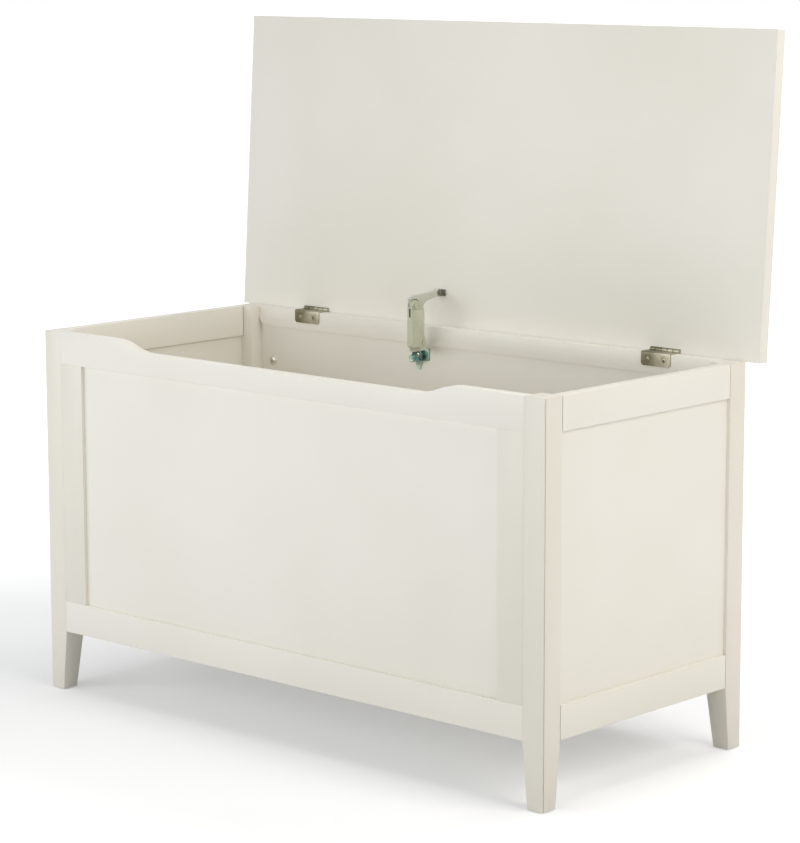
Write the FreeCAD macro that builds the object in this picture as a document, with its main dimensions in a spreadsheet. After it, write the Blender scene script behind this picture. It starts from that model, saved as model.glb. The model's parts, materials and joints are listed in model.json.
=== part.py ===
import FreeCAD, Part
import Sketcher
import math
import os
import re

# Storage chest on four tapered legs, with a lid that hinges at the back and a folding lid stay.
# X runs to the right, Y to the back and Z up. The chest is drawn with its lid open.
# The origin lies on the floor, under the middle of the open chest's outline.

doc = FreeCAD.newDocument("StorageChest")
sheet = doc.addObject("Spreadsheet::Sheet", "Sizes")
names = []
nodes = []


def write_cell(name, content):
    names.append(name)
    cell = "B%d" % len(names)
    sheet.set("A%d" % len(names), name)
    sheet.set(cell, content)
    sheet.setAlias(cell, name)


def given(values):
    for name, value in values.items():
        write_cell(name, str(value))


def derived(values):
    for name, formula in values.items():
        write_cell(name, "=" + formula)


# Carcass
carcass_sizes = {
    "chestwidth": 886.0,
    "chestdepth": 394.0,
    "chestheight": 500.0,
    "postsize": 32.0,
    "footsize": 24.0,
    "taperheight": 84.0,
    "glideheight": 3.0,
    "glideradius": 9.0,
    "railheight": 43.0,
    "railthick": 16.0,
    "railbase": 84.0,
    "stilewidth": 41.0,
    "backrailheight": 27.0,
    "backrailround": 14.0,
    "backpanelrise": 13.0,
    "panelthick": 6.0,
    "panelinset": 5.0,
    "panelfit": 0.1,
    "groovedepth": 6.0,
    "groovespare": 0.5,
    "shoulder": 2.0,
    "tenonlength": 14.0,
    "tenonfit": 0.1,
    "scoopinset": 103.0,
    "scooprun": 70.0,
    "scoopdepth": 14.0,
    "arris": 1.5,
    "railarris": 0.8,
    "overrun": 20.0,
}
given(carcass_sizes)

# Floor of the box and the cleats under it
floor_sizes = {
    "cleatsize": 14.0,
    "cleatrise": 6.0,
    "floorthick": 6.0,
    "floorfit": 0.5,
}
given(floor_sizes)

# Lid
lid_sizes = {
    "lidthick": 16.0,
    "lidsideover": 19.0,
    "lidfrontover": 16.3,
    "lidopen": 93.6,
}
given(lid_sizes)

# Hinges
hinge_sizes = {
    "lidgap": 2.0,
    "hingeout": 3.2,
    "hingeinset": 130.0,
    "hingewidth": 47.0,
    "knuckleradius": 3.0,
    "knucklegap": 0.4,
    "leafthick": 1.5,
    "boreradius": 1.25,
    "pinfit": 0.05,
    "pinheadradius": 2.2,
    "pinheadthick": 0.8,
    "framelegheight": 18.3,
    "lidlegheight": 14.0,
    "legcorner": 4.0,
    "hingeclear": 0.3,
    "legscrewspread": 13.0,
    "legscrewdrop": 8.0,
    "flangescrewplace": 18.5,
    "flangescrewset": 7.5,
    "lidscrewrise": 8.5,
}
given(hinge_sizes)

# Screws
screw_sizes = {
    "screwheadradius": 3.0,
    "screwheadheight": 1.5,
    "screwradius": 1.3,
    "screwlength": 12.0,
    "shortscrewlength": 6.5,
    "screwfit": 0.05,
    "washerradius": 7.5,
    "washerthick": 1.0,
    "domeradius": 5.0,
    "domeheight": 2.2,
    "domeshare": 0.8,
    "panelscrewinset": 23.0,
    "panelscrewdrop": 78.0,
}
given(screw_sizes)

# Lid stay: its foot on the back, its channel housing, its lever and its bracket on the lid
stay_sizes = {
    "stayplace": 77.5,
    "footset": 18.4,
    "footdrop": 19.7,
    "elbowlean": 15.5,
    "elbowrise": 51.8,
    "endreach": 43.1,
    "enddrop": 6.0,
    "channelwidth": 8.4,
    "sleevestep": 0.3,
    "channelwall": 1.2,
    "channeldepth": 25.0,
    "channelcorner": 4.0,
    "earradius": 7.5,
    "footradius": 6.0,
    "footrise": 8.0,
    "steprise": 45.7,
    "earslope": 35.0,
    "slotwidth": 3.2,
    "slotheight": 12.0,
    "slotdrop": 2.0,
    "webdrop": 2.0,
    "leverfit": 0.4,
    "leverroot": 6.0,
    "levercrown": 13.5,
    "leverheelreach": 9.5,
    "leverheeldrop": 10.8,
    "leverbellyreach": 15.3,
    "leverbellydrop": 10.3,
    "leverneckreach": 25.3,
    "leverneckdrop": 2.2,
    "leverbar": 3.6,
    "crownend": 75.0,
    "crownstart": 120.0,
    "rootstart": 150.0,
    "rootend": 250.0,
    "eyeradius": 5.3,
    "eyebore": 4.4,
    "eyewidth": 6.4,
    "staypinradius": 2.0,
    "stayheadradius": 3.2,
    "stayheadthick": 1.2,
    "studradius": 1.5,
    "studheadradius": 4.9,
    "staygap": 0.4,
    "damperradius": 2.7,
    "damperlength": 24.0,
    "plungerradius": 1.4,
    "plungerlength": 8.0,
    "baseplatethick": 1.6,
    "basethick": 2.0,
    "basecentreset": 24.0,
    "basecentredrop": 43.0,
    "basecentreradius": 10.0,
    "leftlobeset": 13.0,
    "leftlobedrop": 5.0,
    "leftloberadius": 5.5,
    "rightlobeset": 10.5,
    "rightloberise": 4.5,
    "rightloberadius": 6.5,
    "tiplobedrop": 15.5,
    "tiploberadius": 4.0,
    "turretset": 14.0,
    "turretdrop": 42.0,
    "turretradius": 8.5,
    "turretlength": 17.0,
    "turretbore": 6.5,
    "turretdepth": 7.0,
    "neckheight": 16.0,
    "neckdrop": 49.0,
    "necknosereach": 16.6,
    "necknoserise": 0.3,
    "necknosedrop": 11.3,
    "neckthroatset": 20.0,
    "neckthroatrise": 10.0,
    "bracketwidth": 9.0,
    "bracketlength": 20.0,
    "bracketthick": 1.6,
    "bracketnose": 4.8,
    "bracketscrewspread": 6.0,
}
given(stay_sizes)

# Sizes that follow from those above
following_sizes = {
    "halfwidth": "chestwidth / 2",
    "halfdepth": "chestdepth / 2",
    "innerwidth": "chestwidth / 2 - railthick",
    "innerdepth": "chestdepth / 2 - railthick",
    "postinx": "chestwidth / 2 - postsize",
    "scoophalf": "chestwidth / 2 - postsize - scoopinset",
    "hingeplace": "chestwidth / 2 - hingeinset",
    "panelscrewplace": "chestwidth / 2 - postsize - panelscrewinset",
    "postiny": "chestdepth / 2 - postsize",
    "toprail": "chestheight - railheight",
    "backrail": "chestheight - backrailheight",
    "railtop": "railbase + railheight",
    "groove": "panelthick / 2 + panelfit",
    "groovemid": "panelinset + panelthick / 2",
    "grooveend": "groovedepth + groovespare",
    "tenonshoulder": "groovedepth + groovespare + shoulder",
    "tenonhalf": "panelthick / 2",
    "lidhalf": "chestwidth / 2 + lidsideover",
    "lidtail": "knuckleradius - leafthick",
    "lidlength": "chestdepth + lidfrontover + hingeout + knuckleradius - leafthick",
    "hingey": "chestdepth / 2 + hingeout",
    "hingez": "chestheight + lidgap",
    "knuckle": "hingewidth / 5",
    "pinradius": "boreradius - pinfit",
    "lidback": "hingey + arris - (lidlength - lidtail - arris) * cos(lidopen)"
               " + (lidthick - arris) * sin(lidopen)",
    "frameshift": "(chestdepth / 2 - lidback) / 2",
    "floortop": "railbase + cleatrise + cleatsize + floorthick",
    "panelface": "chestdepth / 2 - panelinset - panelthick",
    "basecentreplace": "stayplace + basecentreset",
    "turretplace": "stayplace + turretset",
    "footy": "chestdepth / 2 - railthick - footset",
    "footz": "chestheight - footdrop",
    "elbowy": "footy - elbowlean",
    "elbowz": "footz + elbowrise",
    "endy": "hingey - endreach * cos(lidopen) - enddrop * sin(lidopen)",
    "endz": "hingez + endreach * sin(lidopen) - enddrop * cos(lidopen)",
    "leverlength": "sqrt((endy - elbowy) ^ 2 + (endz - elbowz) ^ 2)",
    "leverthick": "channelwidth - 2 * channelwall - 2 * leverfit",
    "channelfront": "-(elbowlean + earradius)",
    "channelback": "channeldepth - elbowlean - earradius",
    "channelinner": "channelwidth / 2 - channelwall",
    "sleevehalf": "channelwidth / 2 + sleevestep",
    "scoopradius": "(scooprun ^ 2 / scoopdepth + scoopdepth) / 4",
    "leverhollow": "sqrt((leverneckreach - leverbellyreach) ^ 2"
                   " + (leverbellydrop - leverneckdrop) ^ 2)",
}
derived(following_sizes)
doc.recompute()


def link(text):
    def swap(found):
        word = found.group()
        return "Sizes." + word if word in names else word
    return re.sub(r"[a-z]+", swap, text)


def number(text):
    return float(sheet.evalExpression(link(text)))


def bind(feature, prop, text):
    feature.setExpression(prop, link(text))


def start_body(label, place=("0", "0", "0"), turn=0.0):
    body = doc.addObject("PartDesign::Body", label)
    body.Label = label
    body.Placement = FreeCAD.Placement(FreeCAD.Vector(), FreeCAD.Rotation(FreeCAD.Vector(1, 0, 0), turn))
    bind(body, "Placement.Base.x", place[0])
    bind(body, "Placement.Base.y", "%s + frameshift" % place[1])
    bind(body, "Placement.Base.z", place[2])
    nodes.append(body)
    return body


def block(body, name, x, y, z, cut=False):
    box = body.newObject("PartDesign::SubtractiveBox" if cut else "PartDesign::AdditiveBox", name)
    for prop, axis, span in (("Length", "x", x), ("Width", "y", y), ("Height", "z", z)):
        bind(box, prop, "(%s) - (%s)" % (span[1], span[0]))
        bind(box, "Placement.Base." + axis, span[0])
    return box


def turn_to(axis):
    if axis == "x":
        return FreeCAD.Rotation(FreeCAD.Vector(0, 1, 0), 90)
    if axis == "y":
        return FreeCAD.Rotation(FreeCAD.Vector(1, 0, 0), -90)
    return FreeCAD.Rotation()


def place_round(piece, axis, start, centre):
    piece.Placement = FreeCAD.Placement(FreeCAD.Vector(), turn_to(axis))
    others = [letter for letter in "xyz" if letter != axis]
    bind(piece, "Placement.Base." + axis, start)
    for letter, value in zip(others, centre):
        bind(piece, "Placement.Base." + letter, value)


def rod(body, name, axis, span, centre, radius, cut=False):
    kind = "PartDesign::SubtractiveCylinder" if cut else "PartDesign::AdditiveCylinder"
    piece = body.newObject(kind, name)
    bind(piece, "Radius", radius)
    bind(piece, "Height", "(%s) - (%s)" % (span[1], span[0]))
    place_round(piece, axis, span[0], centre)
    return piece


def cone(body, name, axis, span, centre, radii, cut=False):
    piece = body.newObject("PartDesign::SubtractiveCone" if cut else "PartDesign::AdditiveCone", name)
    bind(piece, "Radius1", radii[0])
    bind(piece, "Radius2", radii[1])
    bind(piece, "Height", "(%s) - (%s)" % (span[1], span[0]))
    place_round(piece, axis, span[0], centre)
    return piece


def screw(body, name, axis, way, head, centre, length, cut=False):
    # A countersunk screw whose head lies at "head" and whose shank points the "way" of the axis.
    ease = "screwfit" if cut else "0"
    neck = "%s + %s * screwheadheight" % (head, way)
    tip = "%s + %s * (%s + %s)" % (head, way, length, ease)
    wide = "screwheadradius + %s" % ease
    thin = "screwradius + %s" % ease
    if way > 0:
        cone(body, name + "Head", axis, (head, neck), centre, (wide, thin), cut)
        rod(body, name + "Shank", axis, (neck, tip), centre, thin, cut)
    else:
        cone(body, name + "Head", axis, (neck, head), centre, (thin, wide), cut)
        rod(body, name + "Shank", axis, (tip, neck), centre, thin, cut)


def arc_centre(start, end, radius, way):
    # The centre lies to the left of the walk from start to end where way is 1, else to the right.
    middle = (start + end) / 2
    along = end - start
    half = along.Length / 2
    height = math.sqrt(max(radius ** 2 - half ** 2, 0))
    left = FreeCAD.Vector(-along.y, along.x, 0).normalize()
    return middle + left * (way * height)


def draw(body, name, role, level, corners):
    # Each corner is (a, b), or (a, b, radius, way) where an arc runs from it to the next corner.
    sketch = body.newObject("Sketcher::SketchObject", name)
    plane = [item for item in body.Origin.OriginFeatures if item.Role == role][0]
    sketch.AttachmentSupport = [(plane, "")]
    sketch.MapMode = "FlatFace"
    bind(sketch, "AttachmentOffset.Base.z", "-(%s)" % level if role == "XZ_Plane" else level)
    points = [FreeCAD.Vector(number(corner[0]), number(corner[1]), 0) for corner in corners]
    first = []
    last = []
    for index, corner in enumerate(corners):
        start = points[index]
        end = points[(index + 1) % len(points)]
        if len(corner) == 2:
            sketch.addGeometry(Part.LineSegment(start, end), False)
            first.append(1)
            last.append(2)
            continue
        radius = number(corner[2])
        centre = arc_centre(start, end, radius, corner[3])
        begin, finish = (start, end) if corner[3] > 0 else (end, start)
        angles = [math.atan2(point.y - centre.y, point.x - centre.x) for point in (begin, finish)]
        circle = Part.Circle(centre, FreeCAD.Vector(0, 0, 1), radius)
        sketch.addGeometry(Part.ArcOfCircle(circle, angles[0], angles[1]), False)
        first.append(1 if corner[3] > 0 else 2)
        last.append(2 if corner[3] > 0 else 1)
    for index in range(len(corners)):
        after = (index + 1) % len(corners)
        sketch.addConstraint(Sketcher.Constraint("Coincident", index, last[index], after, first[after]))
    for index, corner in enumerate(corners):
        for kind, value, text in (("DistanceX", points[index].x, corner[0]),
                                  ("DistanceY", points[index].y, corner[1])):
            held = sketch.addConstraint(Sketcher.Constraint(kind, -1, 1, index, first[index], value))
            bind(sketch, "Constraints[%d]" % held, text)
        if len(corner) == 4:
            held = sketch.addConstraint(Sketcher.Constraint("Radius", index, number(corner[2])))
            bind(sketch, "Constraints[%d]" % held, corner[2])
    return sketch


def outline(body, name, role, span, corners, cut=False):
    # A drawn outline is drawn out from span's first level to its second.
    sketch = draw(body, name + "Outline", role, span[0], corners)
    doc.recompute()
    piece = body.newObject("PartDesign::Pocket" if cut else "PartDesign::Pad", name)
    piece.Profile = sketch
    piece.Reversed = (role == "XZ_Plane") != cut
    bind(piece, "Length", "(%s) - (%s)" % (span[1], span[0]))
    doc.recompute()
    return piece


def soften(body, name, radius, wanted):
    # Rounds the edges of the body's last feature that "wanted" accepts.
    doc.recompute()
    base = body.Tip
    chosen = ["Edge%d" % (place + 1) for place, edge in enumerate(base.Shape.Edges) if wanted(edge)]
    piece = body.newObject("PartDesign::Fillet", name)
    piece.Base = (base, chosen)
    bind(piece, "Radius", radius)
    doc.recompute()
    return piece


def runs_along(edge, axis):
    ends = [vertex.Point for vertex in edge.Vertexes]
    if len(ends) < 2:
        return False
    across = [abs(getattr(ends[1] - ends[0], letter)) for letter in "xyz" if letter != axis]
    return max(across) < abs(getattr(ends[1] - ends[0], axis)) / 4


def band(sign, outer, inner):
    # The span between an outer and an inner face on the minus or plus side.
    if sign < 0:
        return ("-(%s)" % outer, "-(%s)" % inner)
    return (inner, outer)


def about(middle, half):
    return ("%s - (%s)" % (middle, half), "%s + (%s)" % (middle, half))


# Posts, each tapered at the foot on its two inner faces
def post(label, signx, signy):
    body = start_body(label)
    spanx = band(signx, "halfwidth", "postinx")
    spany = band(signy, "halfdepth", "postiny")
    block(body, "Shaft", spanx, spany, ("glideheight", "chestheight"))
    soften(body, "Arrises", "arris", lambda edge: runs_along(edge, "z"))
    # A wedge comes off each inner face, from the foot up
    for name, role, sign, half, inner, reach in (
            ("TaperAcross", "XZ_Plane", signx, "halfwidth", "postinx", spany),
            ("TaperAlong", "YZ_Plane", signy, "halfdepth", "postiny", spanx)):
        wedge = [
            ("%d * (%s - footsize)" % (sign, half), "glideheight"),
            ("%d * (%s - footsize)" % (sign, half), "glideheight - overrun"),
            ("%d * (%s - overrun)" % (sign, inner), "glideheight - overrun"),
            ("%d * (%s - overrun)" % (sign, inner), "taperheight"),
            ("%d * %s" % (sign, inner), "taperheight"),
        ]
        outline(body, name, role, ("%s - overrun" % reach[0], "%s + overrun" % reach[1]), wedge, True)
    # Mortises for the rails above and below
    for level, low, high in (("Top", "toprail", "chestheight"), ("Bottom", "railbase", "railtop")):
        heights = ("%s + tenonshoulder - tenonfit" % low, "%s - tenonshoulder + tenonfit" % high)
        if signy > 0 and level == "Top":
            across = ("backrail + backpanelrise + groovespare + shoulder - tenonfit",
                      "chestheight - shoulder + tenonfit")
        else:
            across = heights
        block(body, level + "MortiseAcross",
              band(signx, "postinx + tenonlength + tenonfit", "postinx - overrun"),
              about("%d * (halfdepth - groovemid)" % signy, "tenonhalf + tenonfit"), across, True)
        block(body, level + "MortiseAlong",
              about("%d * (halfwidth - groovemid)" % signx, "tenonhalf + tenonfit"),
              band(signy, "postiny + tenonlength + tenonfit", "postiny - overrun"), heights, True)
    # Grooves for the side panel, and for the back panel in the rear posts
    block(body, "SideGroove", about("%d * (halfwidth - groovemid)" % signx, "groove"),
          band(signy, "postiny + grooveend", "postiny - overrun"),
          ("railtop - grooveend", "toprail + grooveend"), True)
    if signy > 0:
        block(body, "BackGroove", band(signx, "postinx + grooveend", "postinx - overrun"),
              about("halfdepth - groovemid", "groove"),
              ("railtop - grooveend", "backrail + backpanelrise + groovespare"), True)
    return body


post("front_left_post", -1, -1)
post("front_right_post", 1, -1)
post("rear_left_post", -1, 1)
post("rear_right_post", 1, 1)

# Nail-on glides under the feet
glides = start_body("foot_glides")
for signx, signy in ((-1, -1), (1, -1), (-1, 1), (1, 1)):
    rod(glides, "Glide%d" % len(glides.Group), "z", ("0", "glideheight"),
        ("%d * (halfwidth - footsize / 2)" % signx, "%d * (halfdepth - footsize / 2)" % signy),
        "glideradius")


# Rails between the posts, with a stub tenon at each end and a groove for the panel
def tenons(body, axis, sign, heights):
    for end in (-1, 1):
        outer = "halfdepth" if axis == "x" else "halfwidth"
        inner = "postinx" if axis == "x" else "postiny"
        across = about("%d * (%s - groovemid)" % (sign, outer), "tenonhalf")
        along = band(end, "%s + tenonlength" % inner, inner)
        spans = (along, across) if axis == "x" else (across, along)
        block(body, "Tenon%d" % len(body.Group), spans[0], spans[1], heights)


def groove(body, axis, sign, heights):
    if axis == "x":
        spans = (about("0", "postinx + tenonlength + overrun"),
                 about("%d * (halfdepth - groovemid)" % sign, "groove"))
    else:
        spans = (about("%d * (halfwidth - groovemid)" % sign, "groove"),
                 about("0", "postiny + tenonlength + overrun"))
    block(body, "Groove", spans[0], spans[1], heights, True)


def rail(label, axis, sign, low, high, panel_above):
    body = start_body(label)
    if axis == "x":
        block(body, "Board", about("0", "postinx"), band(sign, "halfdepth", "innerdepth"), (low, high))
    else:
        block(body, "Board", band(sign, "halfwidth", "innerwidth"), about("0", "postiny"), (low, high))
    soften(body, "Arrises", "railarris", lambda edge: runs_along(edge, axis))
    tenons(body, axis, sign, ("%s + tenonshoulder" % low, "%s - tenonshoulder" % high))
    if panel_above:
        groove(body, axis, sign, ("%s - grooveend" % high, "%s + overrun" % high))
    else:
        groove(body, axis, sign, ("%s - overrun" % low, "%s + grooveend" % low))
    return body


rail("front_bottom_rail", "x", -1, "railbase", "railtop", True)
rail("back_bottom_rail", "x", 1, "railbase", "railtop", True)
rail("left_bottom_rail", "y", -1, "railbase", "railtop", True)
rail("right_bottom_rail", "y", 1, "railbase", "railtop", True)
rail("left_top_rail", "y", -1, "toprail", "chestheight", False)
rail("right_top_rail", "y", 1, "toprail", "chestheight", False)

# Front top rail, scooped along its upper edge
scooped = start_body("front_top_rail")
scoopedge = [
    ("-postinx", "toprail"),
    ("postinx", "toprail"),
    ("postinx", "chestheight"),
    ("scoophalf", "chestheight", "scoopradius", 1),
    ("scoophalf - scooprun / 2", "chestheight - scoopdepth / 2", "scoopradius", -1),
    ("scoophalf - scooprun", "chestheight - scoopdepth"),
    ("-(scoophalf - scooprun)", "chestheight - scoopdepth", "scoopradius", -1),
    ("-(scoophalf - scooprun / 2)", "chestheight - scoopdepth / 2", "scoopradius", 1),
    ("-scoophalf", "chestheight"),
    ("-postinx", "chestheight"),
]
outline(scooped, "Board", "XZ_Plane", band(-1, "halfdepth", "innerdepth"), scoopedge)
soften(scooped, "Arrises", "railarris",
       lambda edge: not runs_along(edge, "y") and not runs_along(edge, "z"))
tenons(scooped, "x", -1, ("toprail + tenonshoulder", "chestheight - tenonshoulder"))
groove(scooped, "x", -1, ("toprail - overrun", "toprail + grooveend"))

# Back top rail, shallower, with its inner face rounded off at the lower corners
shallow = start_body("back_top_rail")
block(shallow, "Board", about("0", "postinx"), band(1, "halfdepth", "innerdepth"),
      ("backrail", "chestheight"))
soften(shallow, "Arrises", "railarris", lambda edge: runs_along(edge, "x"))
tenons(shallow, "x", 1, ("backrail + backpanelrise + groovespare + shoulder", "chestheight - shoulder"))
groove(shallow, "x", 1, ("backrail - overrun", "backrail + backpanelrise + groovespare"))
for side in (-1, 1):
    corner = [
        ("%d * (postinx + overrun)" % side, "backrail - overrun"),
        ("%d * (postinx - backrailround)" % side, "backrail - overrun"),
        ("%d * (postinx - backrailround)" % side, "backrail", "backrailround", side),
        ("%d * postinx" % side, "backrail + backrailround"),
        ("%d * (postinx + overrun)" % side, "backrail + backrailround"),
    ]
    outline(shallow, "Round%d" % len(shallow.Group), "XZ_Plane",
            ("innerdepth - overrun", "halfdepth - groovemid"), corner, True)


# Front stiles, stub-tenoned into the rails' grooves
def stile(label, sign):
    body = start_body(label)
    spanx = band(sign, "postinx", "postinx - stilewidth")
    block(body, "Board", spanx, band(-1, "halfdepth", "innerdepth"), ("railtop", "toprail"))
    soften(body, "Arrises", "railarris", lambda edge: runs_along(edge, "z"))
    block(body, "Tongue", spanx, about("-(halfdepth - groovemid)", "tenonhalf"),
          ("railtop - groovedepth", "toprail + groovedepth"))
    block(body, "Groove", band(sign, "postinx - stilewidth + grooveend", "postinx - stilewidth - overrun"),
          about("-(halfdepth - groovemid)", "groove"), ("railtop - overrun", "toprail + overrun"), True)


stile("front_left_stile", -1)
stile("front_right_stile", 1)


# Panels, set into the grooves
def panel(label, axis, sign, half, top):
    body = start_body(label)
    heights = ("railtop - groovedepth", top)
    if axis == "x":
        block(body, "Sheet", about("0", half),
              about("%d * (halfdepth - groovemid)" % sign, "panelthick / 2"), heights)
    else:
        block(body, "Sheet", about("%d * (halfwidth - groovemid)" % sign, "panelthick / 2"),
              about("0", half), heights)
    return body


panel("front_panel", "x", -1, "postinx - stilewidth + groovedepth", "toprail + groovedepth")
rear_panel = panel("back_panel", "x", 1, "postinx + groovedepth", "backrail + backpanelrise")
panel("left_panel", "y", -1, "postiny + groovedepth", "toprail + groovedepth")
panel("right_panel", "y", 1, "postiny + groovedepth", "toprail + groovedepth")

# Floor board, notched round the posts, and the cleats that carry it
floor = start_body("floor_panel")
block(floor, "Sheet", about("0", "innerwidth - floorfit"), about("0", "innerdepth - floorfit"),
      ("floortop - floorthick", "floortop"))
for signx, signy in ((-1, -1), (1, -1), (-1, 1), (1, 1)):
    block(floor, "Notch%d" % len(floor.Group),
          band(signx, "halfwidth + overrun", "postinx - floorfit"),
          band(signy, "halfdepth + overrun", "postiny - floorfit"),
          ("railbase", "floortop + overrun"), True)
cleatheights = ("railbase + cleatrise", "railbase + cleatrise + cleatsize")
for label, axis, sign in (("front_floor_cleat", "x", -1), ("rear_floor_cleat", "x", 1),
                          ("left_floor_cleat", "y", -1), ("right_floor_cleat", "y", 1)):
    cleat = start_body(label)
    if axis == "x":
        block(cleat, "Strip", about("0", "postinx - floorfit"),
              band(sign, "innerdepth", "innerdepth - cleatsize"), cleatheights)
    else:
        block(cleat, "Strip", band(sign, "innerwidth", "innerwidth - cleatsize"),
              about("0", "postiny - floorfit"), cleatheights)

# Lid, drawn closed about the hinge line and then turned open
lid_place = ("0", "hingey", "hingez")
lid_turn = -number("lidopen")
lid = start_body("lid_panel", lid_place, lid_turn)
block(lid, "Slab", about("0", "lidhalf"), ("lidtail - lidlength", "lidtail"), ("0", "lidthick"))
soften(lid, "Arrises", "arris", lambda edge: True)
for side in (-1, 1):
    block(lid, "HingeNotch%d" % len(lid.Group),
          about("%d * hingeplace" % side, "hingewidth / 2 + pinheadthick + hingeclear"),
          ("-(knuckleradius + hingeclear)", "lidtail + overrun"),
          ("-overrun", "knuckleradius + hingeclear"), True)


# Hinges: five knuckles on a pin, two on the chest's leaf and three on the lid's leaf
def knuckle_spans(centre, places):
    return [("%s + (%s - 1 / 2) * knuckle + knucklegap / 2" % (centre, place),
             "%s + (%s + 1 / 2) * knuckle - knucklegap / 2" % (centre, place)) for place in places]


def leg_outline(centre, low, high, rounded_low):
    left = "%s - hingewidth / 2" % centre
    right = "%s + hingewidth / 2" % centre
    if rounded_low:
        return [
            (left, high),
            (left, "%s + legcorner" % low, "legcorner", 1),
            ("%s + legcorner" % left, low),
            ("%s - legcorner" % right, low, "legcorner", 1),
            (right, "%s + legcorner" % low),
            (right, high),
        ]
    return [
        (left, low),
        (right, low),
        (right, "%s - legcorner" % high, "legcorner", 1),
        ("%s - legcorner" % right, high),
        ("%s + legcorner" % left, high, "legcorner", 1),
        (left, "%s - legcorner" % high),
    ]


frame_screws = start_body("hinge_frame_screws")
lid_screws = start_body("hinge_lid_screws", lid_place, lid_turn)
for name, side in (("left", -1), ("right", 1)):
    centre = "%d * hingeplace" % side
    width = about(centre, "hingewidth / 2")
    top = "chestheight + leafthick"
    leaf = start_body(name + "_hinge_frame_leaf")
    outline(leaf, "Leg", "XZ_Plane", ("innerdepth - leafthick", "innerdepth"),
            leg_outline(centre, top + " - framelegheight", top, True))
    block(leaf, "Flange", width, ("innerdepth - leafthick", "hingey - knuckleradius - hingeclear"),
          ("chestheight", top))
    for place, span in enumerate(knuckle_spans(centre, ("-1", "1"))):
        block(leaf, "Arm%d" % place, span, ("hingey - knuckleradius - hingeclear", "hingey"),
              ("chestheight", top))
        rod(leaf, "Knuckle%d" % place, "x", span, ("hingey", "hingez"), "knuckleradius")
    rod(leaf, "Bore", "x", about(centre, "hingewidth"), ("hingey", "hingez"), "boreradius", True)

    flap = start_body(name + "_hinge_lid_leaf", lid_place, lid_turn)
    outline(flap, "Leg", "XZ_Plane", ("lidtail", "lidtail + leafthick"),
            leg_outline(centre, "0", "lidlegheight", False))
    for place, span in enumerate(knuckle_spans(centre, ("-2", "0", "2"))):
        rod(flap, "Knuckle%d" % place, "x", span, ("0", "0"), "knuckleradius")
    for place, at in enumerate(("-1", "1")):
        block(flap, "Gap%d" % place,
              about("%s + %s * knuckle" % (centre, at), "knuckle / 2 + knucklegap / 2"),
              ("-overrun", "overrun"), ("-overrun", "knuckleradius + hingeclear"), True)
    rod(flap, "Bore", "x", about(centre, "hingewidth"), ("0", "0"), "boreradius", True)

    pin = start_body(name + "_hinge_pin")
    rod(pin, "Shank", "x", width, ("hingey", "hingez"), "pinradius")
    rod(pin, "LeftHead", "x", ("%s - pinheadthick" % width[0], width[0]),
        ("hingey", "hingez"), "pinheadradius")
    rod(pin, "RightHead", "x", (width[1], "%s + pinheadthick" % width[1]),
        ("hingey", "hingez"), "pinheadradius")

    for place, spread in enumerate(("-legscrewspread", "legscrewspread")):
        where = ("%s + %s" % (centre, spread), "chestheight - legscrewdrop")
        tag = name.capitalize() + "Leg%d" % place
        screw(frame_screws, tag, "y", 1, "innerdepth - leafthick", where, "screwlength")
        screw(leaf, tag, "y", 1, "innerdepth - leafthick", where, "screwlength", True)
        screw(shallow, tag, "y", 1, "innerdepth - leafthick", where, "screwlength", True)
        where = ("%s + %s" % (centre, spread), "lidscrewrise")
        screw(lid_screws, tag, "y", -1, "lidtail + leafthick", where, "screwlength")
        screw(flap, tag, "y", -1, "lidtail + leafthick", where, "screwlength", True)
        screw(lid, tag, "y", -1, "lidtail + leafthick", where, "screwlength", True)
    where = ("%s - flangescrewplace" % centre, "innerdepth + flangescrewset")
    tag = name.capitalize() + "Flange"
    screw(frame_screws, tag, "z", -1, top, where, "screwlength")
    screw(leaf, tag, "z", -1, top, where, "screwlength", True)
    screw(shallow, tag, "z", -1, top, where, "screwlength", True)

# Lid stay's foot: a lobed plate with a turret and a neck that carries the pivot
base = start_body("stay_base")
platespan = ("panelface - baseplatethick", "panelface")
basex = "-basecentreplace"
basez = "chestheight - basecentredrop"
rod(base, "Centre", "y", platespan, (basex, basez), "basecentreradius")
lobes = [
    ("%s - leftlobeset" % basex, "%s - leftlobedrop" % basez, "leftloberadius"),
    ("%s + rightlobeset" % basex, "%s + rightloberise" % basez, "rightloberadius"),
    (basex, "%s - tiplobedrop" % basez, "tiploberadius"),
]
for place, lobe in enumerate(lobes):
    rod(base, "Lobe%d" % place, "y", platespan, (lobe[0], lobe[1]), lobe[2])
taper = [
    ("%s - tiploberadius" % basex, "%s - tiplobedrop" % basez),
    ("%s + tiploberadius" % basex, "%s - tiplobedrop" % basez),
    ("%s + basecentreradius" % basex, basez),
    ("%s - basecentreradius" % basex, basez),
]
outline(base, "Tip", "XZ_Plane", platespan, taper)
neckright = "-stayplace - sleevehalf - staygap"
neckleft = "%s - basethick" % neckright
neckfoot = "chestheight - neckdrop"
block(base, "Web", ("-turretplace", neckright), platespan, (neckfoot, "%s + neckheight" % neckfoot))
turretcentre = ("-turretplace", "chestheight - turretdrop")
rod(base, "Turret", "y", ("panelface - baseplatethick - turretlength", "panelface"), turretcentre,
    "turretradius")
neck = [
    ("panelface", neckfoot),
    ("panelface", "%s + neckheight" % neckfoot),
    ("footy + footradius", "footz", "footradius", 1),
    ("footy", "footz + footradius"),
    ("footy - necknosereach", "footz - necknoserise"),
    ("footy - necknosereach", "footz - necknosedrop"),
    ("panelface - neckthroatset", "%s + neckthroatrise" % neckfoot),
]
outline(base, "Neck", "YZ_Plane", (neckleft, neckright), neck)
rod(base, "TurretBore", "y", ("panelface - baseplatethick - turretlength - overrun",
                              "panelface - baseplatethick - turretlength + turretdepth"),
    turretcentre, "turretbore", True)
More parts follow.
